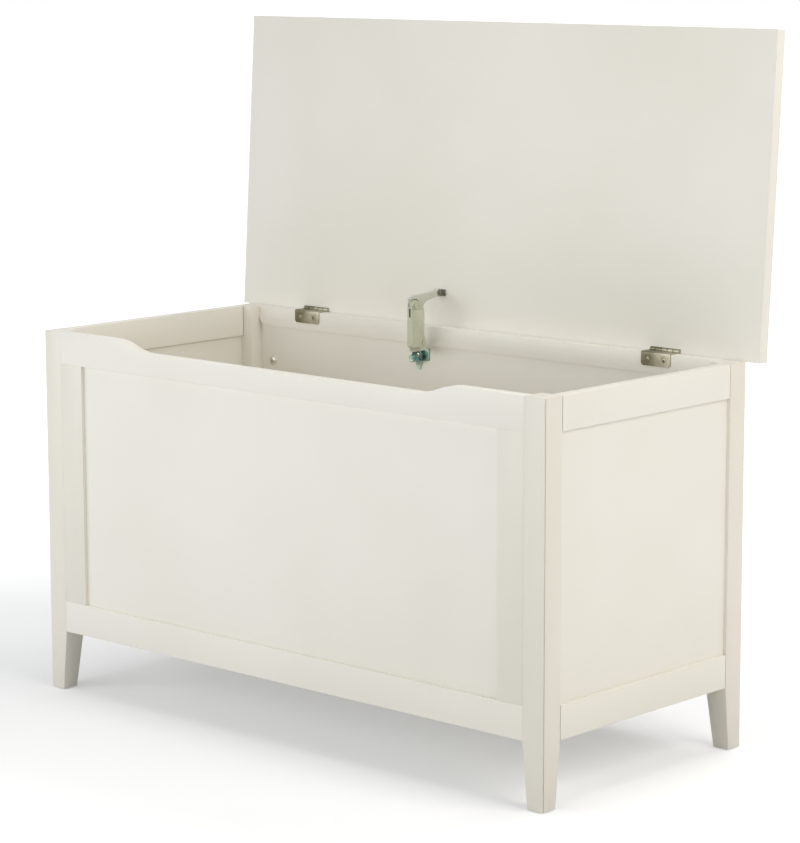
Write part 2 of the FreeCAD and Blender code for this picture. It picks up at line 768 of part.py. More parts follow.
rod(base, "PinBore", "x", ("%s - overrun" % neckleft, "%s + overrun" % neckright), ("footy", "footz"),
    "staypinradius + pinfit", True)
base_screws = start_body("stay_base_screws")
for place, lobe in ((0, lobes[0]), (2, lobes[2])):
    tag = "Lobe%dScrew" % place
    screw(base_screws, tag, "y", 1, platespan[0], (lobe[0], lobe[1]), "shortscrewlength")
    screw(base, tag, "y", 1, platespan[0], (lobe[0], lobe[1]), "shortscrewlength", True)
    screw(rear_panel, tag, "y", 1, platespan[0], (lobe[0], lobe[1]), "shortscrewlength", True)
foot_pin = start_body("stay_base_pin")
pinright = "-stayplace + sleevehalf + staygap"
rod(foot_pin, "Shank", "x", (neckleft, pinright), ("footy", "footz"), "staypinradius")
rod(foot_pin, "LeftHead", "x", ("%s - stayheadthick" % neckleft, neckleft),
    ("footy", "footz"), "stayheadradius")
rod(foot_pin, "RightHead", "x", (pinright, "%s + stayheadthick" % pinright),
    ("footy", "footz"), "stayheadradius")

# Stay housing: a channel that turns on the foot pin, drawn about that pin
stay_place = ("-stayplace", "footy", "footz")
housing = start_body("stay_housing", stay_place)
lower = [
    ("channelfront", "-footradius + channelcorner", "channelcorner", 1),
    ("channelfront + channelcorner", "-footradius"),
    ("0", "-footradius", "footradius", 1),
    ("footradius", "0"),
    ("channelback", "footrise"),
    ("channelback", "steprise"),
]
ear = [
    ("-elbowlean + earradius * cos(earslope)", "elbowrise + earradius * sin(earslope)",
     "earradius", 1),
    ("channelfront", "elbowrise"),
]
outline(housing, "Channel", "YZ_Plane", about("0", "channelwidth / 2"), lower + ear)
outline(housing, "Sleeve", "YZ_Plane", about("0", "sleevehalf"), lower + [("channelfront", "steprise")])
block(housing, "Inside", about("0", "channelinner"),
      ("channelfront + channelwall", "channelback + overrun"),
      ("channelwall - footradius", "elbowrise + earradius + overrun"), True)
block(housing, "WebTop", about("0", "channelinner"), ("channelfront - overrun", "channelback"),
      ("elbowrise - webdrop", "elbowrise + earradius + overrun"), True)
block(housing, "Slot", about("0", "slotwidth / 2"), ("channelfront - overrun", "channelback"),
      ("elbowrise - webdrop - slotdrop - slotheight", "elbowrise - webdrop - slotdrop"), True)
for name, centre in (("FootBore", ("0", "0")), ("ElbowBore", ("-elbowlean", "elbowrise"))):
    rod(housing, name, "x", about("0", "channelwidth"), centre, "staypinradius + pinfit", True)
elbow = start_body("stay_rivet", stay_place)
rod(elbow, "Shank", "x", about("0", "channelwidth / 2"), ("-elbowlean", "elbowrise"), "staypinradius")
rod(elbow, "LeftHead", "x", ("-channelwidth / 2 - stayheadthick", "-channelwidth / 2"),
    ("-elbowlean", "elbowrise"), "stayheadradius")
rod(elbow, "RightHead", "x", ("channelwidth / 2", "channelwidth / 2 + stayheadthick"),
    ("-elbowlean", "elbowrise"), "stayheadradius")

# Damper inside the channel, under the lever's heel
damper = start_body("stay_damper", stay_place)
damperfoot = "channelwall - footradius"
damperline = ("0", "channelfront + channelwall + damperradius")
rod(damper, "Cylinder", "z", (damperfoot, "%s + damperlength" % damperfoot), damperline, "damperradius")
damperhead = "%s + damperlength" % damperfoot
rod(damper, "Plunger", "z", (damperhead, "%s + plungerlength" % damperhead),
    damperline, "plungerradius")

# Lever, drawn about the elbow rivet with its far end along Y
lever_turn = math.degrees(math.atan2(number("endz - elbowz"), number("endy - elbowy")))
lever = start_body("stay_lever", ("-stayplace", "elbowy", "elbowz"), lever_turn)
crown = [("levercrown * cos(%s)" % angle, "levercrown * sin(%s)" % angle)
         for angle in ("crownend", "crownstart")]
root = [("leverroot * cos(%s)" % angle, "leverroot * sin(%s)" % angle)
        for angle in ("rootstart", "rootend")]
shape = [
    ("leverlength", "-leverbar"),
    ("leverlength", "leverbar"),
    crown[0] + ("levercrown", 1),
    crown[1],
    root[0] + ("leverroot", 1),
    root[1],
    ("leverheelreach", "-leverheeldrop"),
    ("leverbellyreach", "-leverbellydrop", "leverhollow", -1),
    ("leverneckreach", "-leverneckdrop"),
]
outline(lever, "Arm", "YZ_Plane", about("0", "leverthick / 2"), shape)
rod(lever, "Eye", "x", about("0", "eyewidth / 2"), ("leverlength", "0"), "eyeradius")
rod(lever, "EyeBore", "x", about("0", "eyewidth"), ("leverlength", "0"), "eyebore", True)
rod(lever, "ElbowBore", "x", about("0", "eyewidth"), ("0", "0"), "staypinradius + pinfit", True)

# Bracket on the lid, and the stud on which the lever's eye rides
bracket = start_body("stay_lid_bracket", lid_place, lid_turn)
bracketleft = "-stayplace + eyewidth / 2 + staygap"
block(bracket, "Plate", (bracketleft, "%s + bracketwidth" % bracketleft),
      about("-endreach", "bracketlength / 2"), ("-bracketthick", "0"))
cheek = [
    ("-endreach - bracketlength / 2", "0"),
    ("-endreach - bracketlength / 2", "-bracketthick"),
    ("-endreach - bracketnose", "-enddrop", "bracketnose", 1),
    ("-endreach + bracketnose", "-enddrop"),
    ("-endreach + bracketlength / 2", "-bracketthick"),
    ("-endreach + bracketlength / 2", "0"),
]
outline(bracket, "Cheek", "YZ_Plane", (bracketleft, "%s + bracketthick" % bracketleft), cheek)
rod(bracket, "StudBore", "x", about(bracketleft, "overrun"), ("-endreach", "-enddrop"),
    "studradius + pinfit", True)
stud = start_body("stay_end_stud", lid_place, lid_turn)
studleft = "-stayplace - eyewidth / 2 - staygap"
studright = "%s + bracketthick" % bracketleft
rod(stud, "Shank", "x", (studleft, studright), ("-endreach", "-enddrop"), "studradius")
rod(stud, "Head", "x", ("%s - stayheadthick" % studleft, studleft),
    ("-endreach", "-enddrop"), "studheadradius")
rod(stud, "Tail", "x", (studright, "%s + pinheadthick" % studright),
    ("-endreach", "-enddrop"), "pinheadradius")
bracket_screws = start_body("stay_bracket_screws", lid_place, lid_turn)
for place, spread in enumerate(("-bracketscrewspread", "bracketscrewspread")):
    where = ("%s + (bracketwidth + bracketthick) / 2" % bracketleft, "-endreach + %s" % spread)
    for body, cut in ((bracket_screws, False), (bracket, True), (lid, True)):
        screw(body, "BracketScrew%d" % place, "z", 1, "-bracketthick", where, "screwlength", cut)

# Washer-head screws high in the corners of the back panel
panel_screws = start_body("back_panel_screws")
for side in (-1, 1):
    where = ("%d * panelscrewplace" % side, "chestheight - panelscrewdrop")
    tag = "PanelScrew%d" % len(panel_screws.Group)
    rod(panel_screws, tag + "Washer", "y", ("panelface - washerthick", "panelface"), where, "washerradius")
    rod(panel_screws, tag + "Dome", "y",
        ("panelface - washerthick - domeheight", "panelface - washerthick"),
        where, "domeradius")
    tip = "panelface + panelthick - shoulder"
    rod(panel_screws, tag + "Shank", "y", ("panelface", tip), where, "screwradius")
    rod(rear_panel, tag + "Hole", "y", ("panelface", "%s + screwfit" % tip), where,
        "screwradius + screwfit", True)
soften(panel_screws, "Domes", "domeheight * domeshare",
       lambda edge: len(edge.Vertexes) == 1 and abs(edge.Curve.Radius - number("domeradius")) < 1e-6
       and abs(edge.Curve.Center.y - number("panelface - washerthick - domeheight")) < 1e-6)

doc.recompute()
for item in doc.Objects:
    if "Invalid" in item.State or "Error" in item.State:
        raise RuntimeError("%s could not be built: %s" % (item.Name, item.State))
for body in nodes:
    if body.Shape.isNull() or not body.Shape.isValid():
        raise RuntimeError("%s has no sound solid" % body.Label)
os.makedirs("parts", exist_ok=True)
for body in nodes:
    body.Shape.exportStep("parts/%s.step" % body.Label)
    print("%-24s %2d %11.1f" % (body.Label, len(body.Shape.Solids), body.Shape.Volume))
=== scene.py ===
import json
import math
import bmesh
import bpy
from mathutils import Matrix, Vector


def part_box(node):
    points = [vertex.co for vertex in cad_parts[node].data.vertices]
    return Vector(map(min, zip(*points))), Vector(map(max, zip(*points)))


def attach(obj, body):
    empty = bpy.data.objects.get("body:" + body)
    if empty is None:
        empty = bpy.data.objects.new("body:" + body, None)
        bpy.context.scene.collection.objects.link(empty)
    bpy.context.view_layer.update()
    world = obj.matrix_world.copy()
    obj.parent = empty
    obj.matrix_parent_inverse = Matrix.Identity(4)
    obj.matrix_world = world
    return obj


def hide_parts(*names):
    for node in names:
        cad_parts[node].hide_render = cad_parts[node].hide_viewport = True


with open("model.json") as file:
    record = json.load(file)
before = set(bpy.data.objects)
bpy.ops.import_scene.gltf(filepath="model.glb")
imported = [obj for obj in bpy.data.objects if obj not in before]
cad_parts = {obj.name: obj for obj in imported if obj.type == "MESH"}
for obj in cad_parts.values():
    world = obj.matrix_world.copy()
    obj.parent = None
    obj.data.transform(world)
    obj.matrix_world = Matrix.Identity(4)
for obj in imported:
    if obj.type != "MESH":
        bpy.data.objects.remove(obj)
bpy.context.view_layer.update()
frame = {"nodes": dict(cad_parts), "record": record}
joints = frame["record"]["behaviour"]["joints"]
hinge = Vector(joints[0]["pos_m"])                     # the lid's axis, at the middle of the chest
lidTurn = math.radians(joints[0]["range_deg"][1])      # how far the lid stands open
elbow = Vector(joints[2]["pos_m"])                     # the rivet that the stay folds on
mm = 0.001
hair = 0.1 * mm                                        # what lies closer than this is in the same place
print("frame loaded:", len(frame["nodes"]), "nodes")


# Colours and shader nodes

def linear(hexColour):
    # sRGB hex, as a colour picker shows it, to the linear values that a shader wants
    channels = [int(hexColour[at:at + 2], 16) / 255 for at in (0, 2, 4)]
    return [c / 12.92 if c <= 0.04045 else ((c + 0.055) / 1.055) ** 2.4 for c in channels] + [1.0]


def addNode(tree, kind, settings=None, **inputs):
    # One shader node; an input is a plain value, or a socket to link from
    node = tree.nodes.new("ShaderNode" + kind)
    for name, value in (settings or {}).items():
        setattr(node, name, value)
    for name, value in inputs.items():
        socket = node.inputs[int(name[1:])] if name[1:].isdigit() else node.inputs[name.replace("_", " ")]
        if isinstance(value, bpy.types.NodeSocket):
            tree.links.new(value, socket)
        else:
            socket.default_value = value
    return node


def startMaterial(name):
    material = bpy.data.materials.new(name)
    material.use_nodes = True
    material.node_tree.nodes.clear()
    return material, material.node_tree


satinPaintLook = {
    "board": ("f0ede4", "ebe8dd"),     # warm white over board, and where the coat is a little thicker
    "solid": ("e9e5da", "e4e0d4"),     # the same coat made darker on posts and stiles: painted shade, where less light reaches them
    "cloudSize": 0.30,         # metres between slow changes of tone
    "sprayGrain": 0.0018,      # orange peel left by the spray gun, about 1.8 mm across
    "woodGrain": 0.0024,       # spacing of the grain that still reads through the coat
    "grainStretch": 0.03,
    "roughness": (0.36, 0.45),
    "peelDepth": 0.00003,
    "grainDepth": 0.00001,
}


def satinPaint(name, along, coatTone="board"):
    # Sprayed satin lacquer over wood: an even, softly shining skin in which the boards' grain just shows
    look = satinPaintLook
    thinCoat, thickCoat = look[coatTone]
    smooth, dull = look["roughness"]
    stretch = [1.0, 1.0, 1.0]
    stretch[along] = look["grainStretch"]
    material, tree = startMaterial(name)
    place = addNode(tree, "TexCoord").outputs["Object"]
    clouds = addNode(tree, "TexNoise", None, Vector=place, Scale=1 / look["cloudSize"], Detail=2.0)
    tone = addNode(tree, "MapRange", None, Value=clouds.outputs[0], From_Min=0.35, From_Max=0.65)
    colour = addNode(tree, "Mix", {"data_type": "RGBA"}, Factor=tone.outputs[0],
                     _6=linear(thinCoat), _7=linear(thickCoat))
    peel = addNode(tree, "TexNoise", None, Vector=place, Scale=1 / look["sprayGrain"], Detail=1.0)
    drawn = addNode(tree, "Mapping", None, Vector=place, Scale=stretch)
    grain = addNode(tree, "TexNoise", None, Vector=drawn.outputs[0], Scale=1 / look["woodGrain"], Detail=4.0)
    rough = addNode(tree, "MapRange", None, Value=grain.outputs[0], From_Min=0.3, From_Max=0.7,
                    To_Min=smooth, To_Max=dull)
    bumpPeel = addNode(tree, "Bump", None, Height=peel.outputs[0], Distance=look["peelDepth"])
    bumpGrain = addNode(tree, "Bump", None, Height=grain.outputs[0], Distance=look["grainDepth"],
                        Normal=bumpPeel.outputs[0])
    shader = addNode(tree, "BsdfPrincipled", None, Base_Color=colour.outputs[2],
                     Roughness=rough.outputs[0], Normal=bumpGrain.outputs[0])
    addNode(tree, "OutputMaterial", None, Surface=shader.outputs[0])
    return material


def brushedMetal(name, look):
    # Rolled or plated steel: fine lines along one axis stretch its highlights, and the tone drifts slowly
    smooth, dull = look["roughness"]
    material, tree = startMaterial(name)
    place = addNode(tree, "TexCoord").outputs["Object"]
    cloud = addNode(tree, "TexNoise", None, Vector=place, Scale=1 / look["cloudSize"], Detail=2.0)
    spread = addNode(tree, "MapRange", None, Value=cloud.outputs[0], From_Min=0.38, From_Max=0.62)
    if "paintedShadeRamp" in look:
        # Each hinge is painted darker towards its left end, a painted shade standing in for a duller
        # reflection there; the pair stands one "repeat" apart
        repeat, first, last = look["paintedShadeRamp"]
        along = addNode(tree, "SeparateXYZ", None, Vector=place)
        fromEnd = addNode(tree, "Math", {"operation": "WRAP"}, _0=along.outputs[0], _1=repeat, _2=0.0)
        paintedShade = addNode(tree, "MapRange", None, Value=fromEnd.outputs[0], From_Min=last, From_Max=first,
                       To_Max=1.15)
        patchesAndShade = addNode(tree, "Math", {"operation": "MULTIPLY_ADD"}, _0=spread.outputs[0], _1=0.3,
                         _2=paintedShade.outputs[0])
        spread = addNode(tree, "Math", {"operation": "MINIMUM"}, _0=patchesAndShade.outputs[0], _1=1.0)
    tint = addNode(tree, "Mix", {"data_type": "RGBA"}, Factor=spread.outputs[0],
                   _6=linear(look["metal"]), _7=linear(look["stain"]))
    drawn = addNode(tree, "Mapping", None, Vector=place, Scale=look["stretch"])
    lines = addNode(tree, "TexNoise", None, Vector=drawn.outputs[0], Scale=1 / look["lineSpacing"],
                    Detail=3.0)
    rough = addNode(tree, "MapRange", None, Value=lines.outputs[0], From_Min=0.3, From_Max=0.7,
                    To_Min=smooth, To_Max=dull)
    bump = addNode(tree, "Bump", None, Height=lines.outputs[0], Distance=look["lineDepth"])
    shader = addNode(tree, "BsdfPrincipled", None, Base_Color=tint.outputs[2], Metallic=1.0,
                     Roughness=rough.outputs[0], Normal=bump.outputs[0])
    addNode(tree, "OutputMaterial", None, Surface=shader.outputs[0])
    return material


def mouldedPlastic(name, look):
    # Injection-moulded plastic: a fine spark-eroded texture keeps it dull, and the tone is slightly mottled
    material, tree = startMaterial(name)
    place = addNode(tree, "TexCoord").outputs["Object"]
    mottle = addNode(tree, "TexNoise", None, Vector=place, Scale=1 / look["mottleSize"], Detail=2.0)
    tint = addNode(tree, "Mix", {"data_type": "RGBA"}, Factor=mottle.outputs[0],
                   _6=linear(look["resin"]), _7=linear(look["shade"]))
    spark = addNode(tree, "TexNoise", None, Vector=place, Scale=1 / look["sparkSize"], Detail=1.0)
    bump = addNode(tree, "Bump", None, Height=spark.outputs[0], Distance=look["sparkDepth"])
    shader = addNode(tree, "BsdfPrincipled", None, Base_Color=tint.outputs[2],
                     Roughness=look["roughness"], Normal=bump.outputs[0])
    addNode(tree, "OutputMaterial", None, Surface=shader.outputs[0])
    return material


paintAlongX = satinPaint("satinPaintAlongX", 0)
paintAlongY = satinPaint("satinPaintAlongY", 1)
# Posts and stiles take the darker copy of the coat, which is painted shade
paintAlongZ = satinPaint("satinPaintAlongZ", 2, "solid")
# Hinge steel with painted shade: each leaf is coloured darker towards its left end
hingeSteel = brushedMetal("brushedHingeSteel", {
    "metal": "bcb7a4", "stain": "6f6b57", "cloudSize": 0.022, "stretch": (0.03, 1.0, 1.0),
    "lineSpacing": 0.0007, "lineDepth": 0.00002, "roughness": (0.29, 0.43),
    # painted shade: the repeat, then the X where it is darkest and the X where it ends
    "paintedShadeRamp": (0.626, 0.289, 0.337)})

# Small plated parts: their plating lies the same in every direction, so the lines aren't stretched
plating = {"stretch": (1.0, 1.0, 1.0), "lineSpacing": 0.0008, "lineDepth": 0.00001}
nickelScrew = brushedMetal("nickelPlatedScrew", {
    **plating, "metal": "c6c4b6", "stain": "a5a392", "cloudSize": 0.004, "roughness": (0.27, 0.41)})
leafScrew = brushedMetal("dulledHingeScrew", {
    **plating, "metal": "a39f8c", "stain": "7d7966", "cloudSize": 0.003, "roughness": (0.38, 0.52)})
palePlate = brushedMetal("paleNickelWasher", {
    **plating, "metal": "e6e4da", "stain": "cfcdc1", "cloudSize": 0.005, "roughness": (0.35, 0.49)})
zincPlate = brushedMetal("blueZincPlate", {
    **plating, "metal": "c6d8cc", "stain": "9fb8ac", "cloudSize": 0.012, "roughness": (0.37, 0.51),
    "lineSpacing": 0.0009, "lineDepth": 0.00002})
# The cup's zinc is a darker copy of the plate's: painted shade on the turret
shadedZinc = brushedMetal("shadedZincTurret", {
    **plating, "metal": "6a8a85", "stain": "4c6864", "cloudSize": 0.006, "roughness": (0.25, 0.39)})
darkStud = brushedMetal("blackenedStudSteel", {
    **plating, "metal": "9ea197", "stain": "74776d", "cloudSize": 0.006, "roughness": (0.28, 0.42)})

stayMould = {"mottleSize": 0.008, "sparkSize": 0.0005, "sparkDepth": 0.00003, "roughness": 0.48}
stayNylon = mouldedPlastic("mouldedStayNylon", {**stayMould, "resin": "cdcfb9", "shade": "c2c4ae"})
leverNylon = mouldedPlastic("mouldedLeverNylon", {**stayMould, "resin": "d3d5c8", "shade": "c9cbbc"})
glideNylon = mouldedPlastic("glideNylon", {
    "resin": "4a4845", "shade": "3d3b39", "mottleSize": 0.006, "sparkSize": 0.0006, "sparkDepth": 0.00004,
    "roughness": 0.6})
print("materials made")

# Every node of the frame gets its finish, also those that a modelled piece takes the place of
nodeFinish = [
    (paintAlongX, ["front_floor_cleat", "rear_floor_cleat", "front_panel", "back_panel", "floor_panel",
                   "front_top_rail", "front_bottom_rail", "back_top_rail", "back_bottom_rail", "lid_panel"]),
    (paintAlongY, ["left_floor_cleat", "right_floor_cleat", "left_panel", "right_panel", "left_top_rail",
                   "left_bottom_rail", "right_top_rail", "right_bottom_rail"]),
    (paintAlongZ, ["front_left_post", "front_right_post", "rear_left_post", "rear_right_post",
                   "front_left_stile", "front_right_stile"]),
    (hingeSteel, ["left_hinge_frame_leaf", "right_hinge_frame_leaf", "left_hinge_lid_leaf",
                  "right_hinge_lid_leaf", "left_hinge_pin", "right_hinge_pin"]),
    (leafScrew, ["hinge_frame_screws", "hinge_lid_screws"]),
    (nickelScrew, ["stay_bracket_screws", "stay_end_stud"]),
    (palePlate, ["back_panel_screws"]),
    (stayNylon, ["stay_housing", "stay_damper", "stay_rivet", "stay_base_pin"]),
    (leverNylon, ["stay_lever"]),
    (zincPlate, ["stay_base", "stay_base_screws"]),
    (darkStud, ["stay_lid_bracket"]),
    (glideNylon, ["foot_glides"]),
]
for material, names in nodeFinish:
    for name in names:
        node = frame["nodes"][name]
        if not node.material_slots:
            node.data.materials.append(material)
        for slot in node.material_slots:
            slot.material = material
print("finishes given to the frame's nodes")


# Modelling helpers

def choose(piece):
    bpy.ops.object.select_all(action="DESELECT")
    piece.select_set(True)
    bpy.context.view_layer.objects.active = piece


def edit(piece):
    choose(piece)
    bpy.ops.object.mode_set(mode="EDIT")


def leave():
    bpy.ops.object.mode_set(mode="OBJECT")


def pick(piece, kind, wanted):
    # Selects the vertices, edges or faces that "wanted" accepts, and nothing else
    bpy.ops.mesh.select_mode(type=kind)
    bpy.ops.mesh.select_all(action="DESELECT")
    shape = bmesh.from_edit_mesh(piece.data)
    for item in {"VERT": shape.verts, "EDGE": shape.edges, "FACE": shape.faces}[kind]:
        if wanted(item):
            item.select_set(True)
    shape.select_flush_mode()
    bmesh.update_edit_mesh(piece.data)


def middle(item):
    return sum((corner.co for corner in item.verts), Vector()) / len(item.verts)


def runs(edge, axis):
    along = edge.verts[1].co - edge.verts[0].co
    return abs(along[axis]) > 0.999 * along.length


def halve(place, normal):
    # Divides the mesh along a plane
    bpy.ops.mesh.select_all(action="SELECT")
    bpy.ops.mesh.bisect(plane_co=place, plane_no=normal)


def merge(reach):
    bpy.ops.mesh.select_all(action="SELECT")
    bpy.ops.mesh.remove_doubles(threshold=reach)


def extrude(*by):
    bpy.ops.mesh.extrude_region_move(TRANSFORM_OT_translate={"value": by})


def addBlock(name, low, high):
    # A block between two corners, with its origin at the frame's
    low, high = Vector(low), Vector(high)
    bpy.ops.object.select_all(action="DESELECT")
    bpy.ops.mesh.primitive_cube_add(size=1, location=(low + high) / 2, scale=high - low)
    piece = bpy.context.object
    piece.name = name
    bpy.ops.object.transform_apply(location=True, rotation=True, scale=True)
    return piece


def useModifier(piece, kind, **settings):
    # Adds a modifier and applies it at once
    choose(piece)
    modifier = piece.modifiers.new(kind.title(), kind)
    for name, value in settings.items():
        setattr(modifier, name, value)
    bpy.ops.object.modifier_apply(modifier=modifier.name)


def cutWith(piece, tool):
    useModifier(piece, "BOOLEAN", operation="DIFFERENCE", solver="EXACT", object=tool)
    bpy.data.objects.remove(tool)


def cutBlock(piece, name, low, high):
    cutWith(piece, addBlock(name, low, high))


def ease(piece, width, segments, limit=40):
    # Takes the sharpness off every edge that turns more than the limit
    useModifier(piece, "BEVEL", width=width, segments=segments, limit_method="ANGLE",
                angle_limit=math.radians(limit), use_clamp_overlap=True, harden_normals=False)


def inMm(outline):
    return [(distance * mm, radius * mm) for distance, radius in outline]


def turned(name, profile, start, along, steps):
    # A round piece, spun from half its outline; each point of it is (distance along the axis, radius)
    along = Vector(along).normalized()
    side = along.orthogonal().normalized()
    points = [Vector(start) + along * distance + side * radius for distance, radius in profile]
    mesh = bpy.data.meshes.new(name)
    mesh.from_pydata(points, [(at, at + 1) for at in range(len(points) - 1)], [])
    piece = bpy.data.objects.new(name, mesh)
    bpy.context.collection.objects.link(piece)
    edit(piece)
    bpy.ops.mesh.select_all(action="SELECT")
    bpy.ops.mesh.spin(steps=steps, angle=2 * math.pi, center=start, axis=along)
    merge(0.002 * mm)
    bpy.ops.mesh.normals_make_consistent(inside=False)
    leave()
    return piece


def ringTool(name, radii, width, start, steps):
    # A ring round an axis along X, to cut with
    inner, outer = radii
    return turned(name, [(0, inner), (0, outer), (width, outer), (width, inner), (0, inner)],
                  start, (1, 0, 0), steps)


def copied(piece, name, matrix):
    # A copy with a mesh of its own, put in its place
    other = bpy.data.objects.new(name, piece.data.copy())
    bpy.context.collection.objects.link(other)
    other.data.transform(matrix)
    return other


def finishPiece(piece, material, body, slot, *nodes):
    # Gives a piece its finish, the body it moves with and the nodes it takes the place of
    choose(piece)
    bpy.ops.object.shade_smooth_by_angle(angle=math.radians(35))
    piece.data.materials.clear()
    piece.data.materials.append(material)
    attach(piece, body)
    if nodes:
        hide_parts(*nodes)


def openLid(piece):
    # Turns a piece that was drawn on the closed lid up to where the lid stands
    turn = Matrix.Translation(hinge) @ Matrix.Rotation(-lidTurn, 4, "X") @ Matrix.Translation(-hinge)
    piece.data.transform(turn)


def span(node):
    low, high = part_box(node)
    return Vector(low), Vector(high)


def pieceName(node):
    # left_top_rail becomes leftTopRail
    first, *others = node.split("_")
    return first + "".join(word.title() for word in others)


# Boards of the carcass

boardLook = {
    "tenon": 14 * mm,          # stub at each end of a rail, hidden in the post
    "tongue": 6 * mm,          # the same at the ends of a stile
    "railEase": 0.7 * mm,
    "flushEase": 0.3 * mm,     # where a front board's end meets a post, filled nearly flush
    "endGap": 1.0 * mm,        # open joint between the side rails' ends and the posts
    "railRound": 14 * mm,      # lower corners of the back top rail
    "postEase": 0.45 * mm,
    "arris": 1.1 * mm,         # the posts' outer corners
    "seamWide": 1.3 * mm,      # open seam beside that corner
    "seamDeep": 2.4 * mm,
    "footSize": 24 * mm,
    "footSole": 1.2 * mm,      # the foot sinks over its glide
    "taperHeight": 84 * mm,
}


def startBoard(node, axis, inset):
    # A plain board in the place of a node, shorter by the inset at both ends
    low, high = span(node)
    low[axis] += inset
    high[axis] -= inset
    return addBlock(pieceName(node), low, high), low, high


def finishBoard(board, material, node):
    finishPiece(board, material, "carcass", "white_paint", node)


def addRail(node, axis, gap, material):
    # The long arrises are rounded; the ends, which meet a post, stay almost sharp
    rail = startBoard(node, axis, boardLook["tenon"] + gap)[0]
    edit(rail)
    pick(rail, "EDGE", lambda edge: runs(edge, axis))
    bpy.ops.mesh.bevel(offset=boardLook["railEase"], segments=3, affect="EDGES")
    leave()
    ease(rail, boardLook["flushEase"], 1)
    finishBoard(rail, material, node)


for side in ("front", "back"):
    addRail(side + "_bottom_rail", 0, 0, paintAlongX)
for side in ("left", "right"):
    addRail(side + "_top_rail", 1, boardLook["endGap"], paintAlongY)
    addRail(side + "_bottom_rail", 1, boardLook["endGap"], paintAlongY)

# The back top rail's lower corners are rounded off
rail, low, high = startBoard("back_top_rail", 0, boardLook["tenon"])
edit(rail)
pick(rail, "EDGE", lambda edge: runs(edge, 1) and middle(edge).z < low.z + mm)
bpy.ops.mesh.bevel(offset=boardLook["railRound"], segments=10, affect="EDGES")
leave()
ease(rail, boardLook["flushEase"], 2, 30)
finishBoard(rail, paintAlongX, "back_top_rail")

# The front top rail is scooped: its upper edge sinks in a soft S at each side
scoopLook = {"start": 308 * mm, "run": 70 * mm, "depth": 14 * mm, "steps": 16}
rail, low, high = startBoard("front_top_rail", 0, boardLook["tenon"])
edit(rail)
for side in (-1, 1):
    for step in range(scoopLook["steps"] + 1):
        halve((side * (scoopLook["start"] - scoopLook["run"] * step / scoopLook["steps"]), 0, 0), (1, 0, 0))
pick(rail, "VERT", lambda corner: corner.co.z > high.z - mm and abs(corner.co.x) < scoopLook["start"] - hair)
shape = bmesh.from_edit_mesh(rail.data)
for corner in shape.verts:
    if corner.select:
        share = min(1.0, (scoopLook["start"] - abs(corner.co.x)) / scoopLook["run"])
        fall = 2 * share ** 2 if share < 0.5 else 1 - 2 * (1 - share) ** 2
        corner.co.z -= scoopLook["depth"] * fall
bmesh.update_edit_mesh(rail.data)
leave()
ease(rail, boardLook["flushEase"], 2, 50)
finishBoard(rail, paintAlongX, "front_top_rail")

for node in ("front_left_stile", "front_right_stile"):
    stile = startBoard(node, 2, boardLook["tongue"])[0]
    ease(stile, boardLook["flushEase"], 2)
    finishBoard(stile, paintAlongZ, node)

# Posts, tapered at the foot on their two inner faces
for rear in ("front", "rear"):
    for side in ("left", "right"):
        node = "%s_%s_post" % (rear, side)
        low, high = span(node)
        low.z = boardLook["footSole"]
        post = addBlock(pieceName(node), low, high)
        outX, inX = (low.x, high.x) if side == "left" else (high.x, low.x)
        outY, inY = (low.y, high.y) if rear == "front" else (high.y, low.y)
        back = boardLook["footSize"] - (high.x - low.x)
        edit(post)
        halve((0, 0, boardLook["taperHeight"]), (0, 0, 1))
        pick(post, "VERT", lambda corner: corner.co.z < low.z + mm and abs(corner.co.x - inX) < mm)
        bpy.ops.transform.translate(value=(back if side == "left" else -back, 0, 0))
        pick(post, "VERT", lambda corner: corner.co.z < low.z + mm and abs(corner.co.y - inY) < mm)
        bpy.ops.transform.translate(value=(0, back if rear == "front" else -back, 0))
        pick(post, "EDGE", lambda edge: abs(middle(edge).x - outX) < hair
             and abs(middle(edge).y - outY) < hair)
        bpy.ops.mesh.bevel(offset=boardLook["arris"], segments=3, affect="EDGES")
        leave()
        if rear == "front":
            nearX = outX - math.copysign(boardLook["seamDeep"], outX)
            farX = outX + math.copysign(mm, outX)
            seamY = outY + boardLook["arris"]
            cutBlock(post, "seamTool", (min(nearX, farX), seamY, 0),
                     (max(nearX, farX), seamY + boardLook["seamWide"], high.z + mm))
        ease(post, boardLook["postEase"], 2, 50)
        finishBoard(post, paintAlongZ, node)
print("boards made")

# Lid: one slab with rounded arrises, notched behind for the hinges
lidLook = {
    "thick": 16 * mm,
    "side": 462 * mm,          # from the middle to either end
    "length": 416.5 * mm,      # front to back
    "tail": 3.0 * mm,          # the part of that which lies behind the hinges' axis
    "ease": 1.3 * mm,
    "hingePlace": 313 * mm,    # middle of each hinge, from the middle of the chest
    "notchHalf": 24.6 * mm,    # room for the barrel
    "notchDeep": 3.3 * mm,
    "notchPast": 5 * mm,       # how far its cut runs out, below and behind
    "leafHalf": 23.7 * mm,     # recess that lets the leaf in flush
    "leafSink": 1.45 * mm,
    "leafHigh": 14.2 * mm,
    "leafPast": 6 * mm,
}
lidBack = hinge.y + lidLook["tail"]
slab = addBlock("lidSlab", (-lidLook["side"], lidBack - lidLook["length"], hinge.z),
                (lidLook["side"], lidBack, hinge.z + lidLook["thick"]))
edit(slab)
pick(slab, "EDGE", lambda edge: not (middle(edge).y > hinge.y and middle(edge).z < hinge.z + hair))
bpy.ops.mesh.bevel(offset=lidLook["ease"], segments=4, affect="EDGES")
leave()
